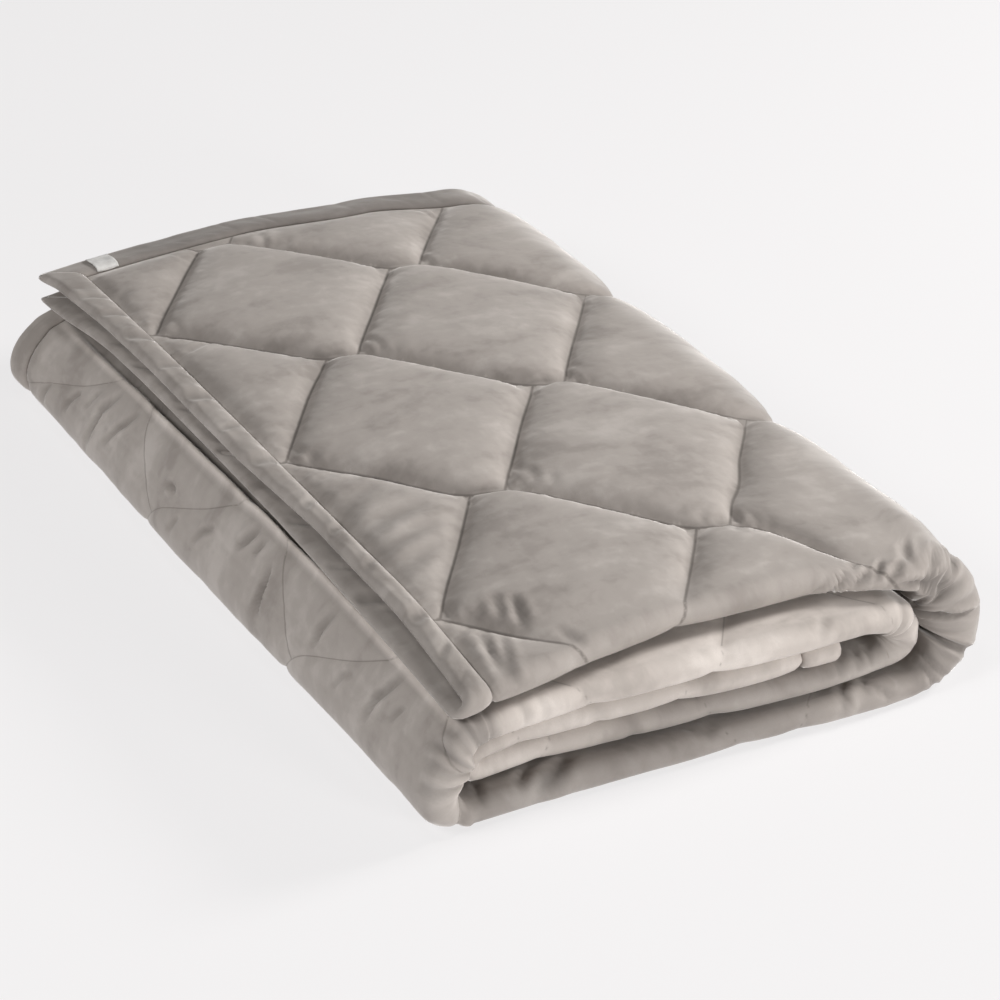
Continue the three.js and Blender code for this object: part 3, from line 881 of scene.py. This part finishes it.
def makePanel(material):
    grid = panelGrid()
    moved = fillCells(grid)
    s, v, w, paintedShading = panelSurface(grid, moved)
    outer = clothPoint(s, v, w)
    # painted light and shade by slope, on top
    paintedShading = paintedShading * paintedSlopeShade(grid, outer)
    faces = list(grid.faces)
    lines, innerS, innerV = innerFace(grid)
    edge = edgeDistance(innerS, innerV, fullWidth(pathAt(innerS)))
    inBinding = edge <= panel["stitching"] + panel["slack"]
    inner = clothPoint(innerS, innerV, np.where(inBinding, -panel["rim"], panel["innerHeight"]))
    offset = len(outer)
    lines = [[offset + n for n in line] for line in lines]
    level = np.zeros(len(outer) + len(inner))
    faces += zipSheet(lines, [range(len(line)) for line in lines], level, False)
    # the rim, which lies inside the binding
    allS, allV = np.concatenate([grid.s, innerS]), np.concatenate([grid.v, innerV])
    for one, two, flip in ((grid.lines[0], lines[0], False), (grid.lines[-1], lines[-1], True)):
        faces += zipLines(one, two, allV[one], allV[two], level, flip)
    for row, flip in ((0, True), (-1, False)):
        one, two = [line[row] for line in grid.lines], [line[row] for line in lines]
        faces += zipLines(one, two, allS[one], allS[two], level, flip)
    threadAndSeamShade = panel["faintThreadAndShade"] * (grid.at.k > lastTop)  # the dark line of thread and painted seam shade is fainter below the top
    coords = {
        "clothS": np.concatenate([s, innerS]) * mm,
        "clothV": np.concatenate([v, innerV]) * mm,
        "seamNear": np.concatenate([grid.near + threadAndSeamShade, np.full(len(inner), panel["noThreadOrShade"])]),
        "paintedShading": np.concatenate([paintedShading, np.ones(len(inner))]),
    }
    return makeObject("quilted_panel_velvet", np.concatenate([outer, inner]), faces, material, coords)


# the binding, a folded strip of the same velvet round all four edges

strip = {
    "wall": 3, "gap": 0.3, "slot": 1.1,
    # half thickness on the outer and the inner face, and at the stitching
    "crown": 7.4, "inner": 4.2, "lip": 1.6,
    "under": 0.62, "underTone": 0.98,  # the roll is thinner on the lower sheet
    # tone along s: on the back one, painted shade along the top and painted light at the left end
    "leftTones": ((0, 1.0), (2310, 1.0)), "innerTones": ((0, 1.5), (2310, 1.5)),
    "backPaintedShade": ((0, 1.0), (30, 0.95), (110, 0.62), (420, 0.62), (600, 1.0), (1008, 1.0), (1030, 1.15),
                  (1131, 1.15), (1150, 1.0), (2310, 1.0)),
    "nose": 8, "shoulder": 17, "bend": 2.2,  # how it rounds off at the edge and at the stitching
    "step": 3.0, "around": 15, "bodyTo": 28,
    "lump": 0.8, "lumpOver": 21, "lumpAcross": 22, "lumpApart": 7,
    "cross": 0.8, "crossOver": 42, "crossSlant": 0.5, "crossWidth": 0.16, "crossRow": 0.3,
    "gather": 0.5, "gatherOver": 7, "gatherAt": (30, 5), "gatherRow": 0.5,  # along the stitching
    # wrinkles across the left binding: how far along, half width, depth, slant
    "wrinkles": ((70, 5, 1.6, 0.4), (112, 6, 2.2, 0.5), (166, 8, 3.0, 0.3), (233, 5, 1.6, 0.5),
                 (297, 8, 3.4, 0.35), (360, 5, 1.6, 0.5), (425, 8, 3.5, 0.3), (505, 5, 1.8, 0.6),
                 (552, 5, 2.2, 0.4), (610, 5, 1.4, 0.5), (690, 8.5, 3.6, 0.2), (735, 5, 1.8, 0.5),
                 (960, 7, 3.4, 0.2), (1010, 4, 1.6, 0.4), (1085, 5, 1.8, 0.4), (1217, 7, 3.4, 0.3),
                 (1300, 5, 1.8, 0.4), (1390, 5, 2.2, 0.4)),
    "wrinkleMiddle": 18, "wrinkleRim": (0.3, 1.8, 0.8),
    "creaseShading": 0.06, "creaseShadingLimits": (-5, 3),  # painted shade in a wrinkle and painted light on a lump, for each millimetre
    "grainShift": 3,  # moves the grain of the velvet, so that it differs from the panel's
}


def rollHeight(d, crown):
    edge = np.clip(d / strip["nose"], 0, 1)
    stitch = np.clip((bindingWidth - d) / strip["shoulder"], 0, 1)
    rounded = np.sqrt(1 - (1 - edge) ** 2)
    return rounded * mix(strip["lip"], crown, np.sqrt(1 - (1 - stitch) ** strip["bend"]))


def bindingRing():  # (d in from the edge, w out from the middle), round the outside and back along the slot
    d = bindingWidth * (1 + np.cos(np.linspace(0, math.pi, strip["around"] + 1))) / 2
    outside = list(zip(d, rollHeight(d, strip["crown"])))
    under = list(zip(d[::-1], -rollHeight(d[::-1], strip["inner"])))[1:]
    wall, slot = strip["wall"], strip["slot"]
    inside = [(bindingWidth, -slot), (wall, -slot), (wall, slot), (bindingWidth, slot)]
    return outside + under + inside, len(outside) + len(under)


def stripPlace(across, first, d, share):  # s and v: d in from one of the edges, at a share of the way along
    mitre = d + strip["gap"]
    if across:
        s = d if first else path.total - d
        return s, mix(mitre, fullWidth(pathAt(s)) - mitre, share)
    s = mix(mitre, path.total - mitre, share)
    return s, d if first else fullWidth(pathAt(s)) - d


def makeBinding(name, across, first, material, seed, tones, wrinkles):
    ring, outsideCount = bindingRing()
    length = float(fullWidth(pathAt(0.0))) if across else path.total
    flip = across != first
    stations = round(length / strip["step"])
    d = np.array([p[0] for p in ring])[None, :]
    w = np.array([p[1] for p in ring])[None, :]
    share = np.linspace(0, 1, stations)[:, None]
    along = share * length
    full = np.zeros((stations, len(ring)))
    s, v = stripPlace(across, first, d + full, share + full)
    at = pathAt(s)
    depth = sheetDepth(at)
    onLower = smooth(v, depth, depth + foldLength) * (at.k <= lastTop)
    outside = np.arange(len(ring)) < outsideCount
    body = smooth(d, 0, strip["nose"]) * fade(d, strip["bodyTo"], bindingWidth) * outside
    lumpRow = d / strip["lumpAcross"] + strip["lumpApart"] * (w < 0)
    lumps = strip["lump"] * noise(along / strip["lumpOver"], lumpRow, seed)
    crossing = noise((along + strip["crossSlant"] * d) / strip["crossOver"], strip["crossRow"], seed + 1)
    folds = -strip["cross"] * bump(crossing, 0, strip["crossWidth"])
    for where, wide, deep, slant in wrinkles:
        q = (along - where + slant * (d - strip["wrinkleMiddle"])) / wide
        folds = folds - deep * trough(q, *strip["wrinkleRim"])
    gathers = strip["gather"] * noise(along / strip["gatherOver"], strip["gatherRow"], seed + 2)
    gathers = gathers * bump(d, *strip["gatherAt"]) * outside
    raised = w + ((lumps + folds) * body + gathers) * np.sign(w)
    thin = mix(1, strip["under"], onLower)
    thinned = np.where(w > strip["lip"], mix(strip["lip"], raised, thin), raised)
    points = clothPoint(s, v, thinned).reshape(-1, 3)
    count = len(ring)
    faces = []
    for i in range(stations - 1):
        for k in range(count):
            n = (k + 1) % count
            a, b = i * count + k, i * count + n
            c, e = b + count, a + count
            faces.append((a, e, c, b) if flip else (a, b, c, e))
    ends = list(range(count)), list(range((stations - 1) * count, stations * count))
    faces += [ends[0] if flip else ends[0][::-1], ends[1][::-1] if flip else ends[1]]
    # painted light and shade along s, painted shade in wrinkles and painted light on lumps
    paintedShadingAlong = np.interp(s, *np.array(tones).T) * mix(1, strip["underTone"], onLower)
    paintedShadingAlong = paintedShadingAlong * (1 + strip["creaseShading"] * np.clip((lumps + folds) * body, *strip["creaseShadingLimits"]))
    grainS = s.ravel() * mm + strip["grainShift"]
    coords = {"clothS": grainS, "clothV": v.ravel() * mm, "paintedShading": paintedShadingAlong.ravel()}
    return makeObject(name, points, faces, material, coords)


# the label, a blank slip of satin on the binding

label = {
    "from": 50, "width": 22, "inset": 8, "length": 29, "lift": 0.5, "thick": 0.6, "steps": 16,
    "curl": 0.7, "ripple": 0.4, "rippleS": 9, "rippleV": 11, "seed": 51,
    "grey": (0.70, 0.69, 0.67), "white": (0.82, 0.81, 0.79),
    "shader": {"Roughness": 0.45, "Sheen Weight": 0.2},
    "blotches": 140.0, "blotchRange": (0.3, 0.7), "weave": {"Scale": 900.0, "Distortion": 0.6, "Detail": 1.0},
    "relief": {"Strength": 0.25, "Distance": 0.0003},
}


def labelMaterial():
    material, tree, bsdf = newMaterial("label_satin")
    place = placeNode(tree)
    weave = addNode(tree, "TexWave", {"bands_direction": "Y"}, {"Vector": place, **label["weave"]})
    blotch = rangeNode(tree, noiseNode(tree, place, label["blotches"]), *label["blotchRange"])
    feed(tree, bsdf, {
        **label["shader"],
        "Base Color": mixColour(tree, blotch, label["grey"], label["white"]),
        "Normal": reliefNode(tree, weave.outputs["Fac"], label["relief"]),
    })
    return material


def makeLabel(material):
    top = sorted(bindingRing()[0][:strip["around"] + 1])
    steps = label["steps"]
    share = np.linspace(0, 1, steps + 1)
    v = label["inset"] + label["length"] * share
    s = label["from"] + label["width"] * share
    gridS, gridV = np.meshgrid(s, v, indexing="ij")
    low = np.interp(gridV, *np.array(top).T) + label["lift"] + label["curl"] * (2 * share[:, None] - 1) ** 2
    low = low + label["ripple"] * noise(gridS / label["rippleS"], gridV / label["rippleV"], label["seed"])
    faces, count = [], (steps + 1) ** 2
    upper = clothPoint(gridS, gridV, low + label["thick"]).reshape(-1, 3)
    lower = clothPoint(gridS, gridV, low).reshape(-1, 3)

    def cell(i, j):
        return i * (steps + 1) + j

    for i in range(steps):
        for j in range(steps):
            corners = [cell(i, j), cell(i, j + 1), cell(i + 1, j + 1), cell(i + 1, j)]
            faces.append(corners)
            faces.append([count + n for n in corners[::-1]])
    loop = [cell(i, 0) for i in range(steps)] + [cell(steps, j) for j in range(steps)]
    loop += [cell(i, steps) for i in range(steps, 0, -1)] + [cell(0, j) for j in range(steps, 0, -1)]
    for one, two in zip(loop, loop[1:] + loop[:1]):
        faces.append([one, two, count + two, count + one])
    coords = {"clothS": np.tile(gridS.ravel(), 2) * mm, "clothV": np.tile(gridV.ravel(), 2) * mm}
    return makeObject("label_slip", np.concatenate([upper, lower]), faces, material, coords)


print("materials")
panelVelvet = velvetMaterial("quilted_velvet", 1.0, True)
bindingVelvet = velvetMaterial("binding_velvet", 0.95, False)

print("cloth")
quiltedPanel = makePanel(panelVelvet)
bindings = {}
for node, name, across, first, seed, tones, wrinkles in (
        ("binding_left_edge", "binding_left_velvet", True, True, 61, "leftTones", strip["wrinkles"]),
        ("binding_inner_end", "binding_inner_velvet", True, False, 63, "innerTones", ()),
        ("binding_back_outer", "binding_outer_velvet", False, True, 65, "backPaintedShade", ()),
        ("binding_back_inner", "binding_under_velvet", False, False, 67, "leftTones", ())):
    bindings[node] = makeBinding(name, across, first, bindingVelvet, seed, strip[tones], wrinkles)
labelPiece = makeLabel(labelMaterial())

for node, piece in {"quilted_panel": quiltedPanel, **bindings, "label": labelPiece}.items():
    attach(piece, "root")
    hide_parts(node)


# studio

studio = {
    "lens": 104.8, "sensor": 36, "azimuth": -30.67, "elevation": 33.04,
    "target": (-0.057, -0.172, 0.136), "distance": 2.399,
    "floorHalf": 12000,
    "floor": {"Base Color": (0.18, 0.177, 0.178, 1), "Roughness": 0.9, "Specular IOR Level": 0.1,
              "Emission Color": (1.0, 0.988, 0.992, 1), "Emission Strength": 0.72},
    "world": {"Color": (1.0, 0.99, 0.985, 1), "Strength": 0.03},
    "aim": (0, 0, 0.06),  # the lights point here
    # where each stands, its size, watts, colour
    "lights": {
        "key": ((2.74, -0.39, 1.60), 0.8, 88, (1.0, 0.985, 0.97)),
        "front": ((0.85, -3.02, 0.60), 0.9, 66, (1.0, 0.985, 0.97)),
        "above": ((-0.2, 0.2, 3.2), 1.2, 10, (1.0, 0.99, 0.98)),
        "left": ((-2.35, -0.1, 2.15), 1.2, 44, (1.0, 0.99, 0.98)),
    },
}


def makeStudio():
    a, e = math.radians(studio["azimuth"]), math.radians(studio["elevation"])
    back = Vector((math.sin(a) * math.cos(e), -math.cos(a) * math.cos(e), math.sin(e)))
    target = Vector(studio["target"])
    camera = addObject("camera", bpy.data.cameras.new("camera"))
    camera.data.lens = studio["lens"]
    camera.data.sensor_width = studio["sensor"]
    camera.location = target + back * studio["distance"]
    camera.rotation_euler = (-back).to_track_quat("-Z", "Y").to_euler()
    bpy.context.scene.camera = camera
    for name, (where, size, power, colour) in studio["lights"].items():
        light = bpy.data.lights.new(name, "AREA")
        light.shape, light.size, light.energy, light.color = "DISK", size, power, colour
        lamp = addObject(name, light)
        lamp.location = where
        lamp.rotation_euler = (Vector(where) - Vector(studio["aim"])).to_track_quat("Z", "Y").to_euler()
    world = bpy.data.worlds.new("studio_world")
    world.use_nodes = True
    feed(world.node_tree, world.node_tree.nodes["Background"], studio["world"])
    bpy.context.scene.world = world
    bpy.context.scene.view_settings.view_transform = "Standard"
    material, tree, bsdf = newMaterial("floor_paper")
    feed(tree, bsdf, studio["floor"])
    half = studio["floorHalf"]
    corners = np.array([(-half, -half, 0), (half, -half, 0), (half, half, 0), (-half, half, 0)], float)
    floor = makeObject("studio_floor", corners, [(0, 1, 2, 3)], material)


print("studio")
makeStudio()
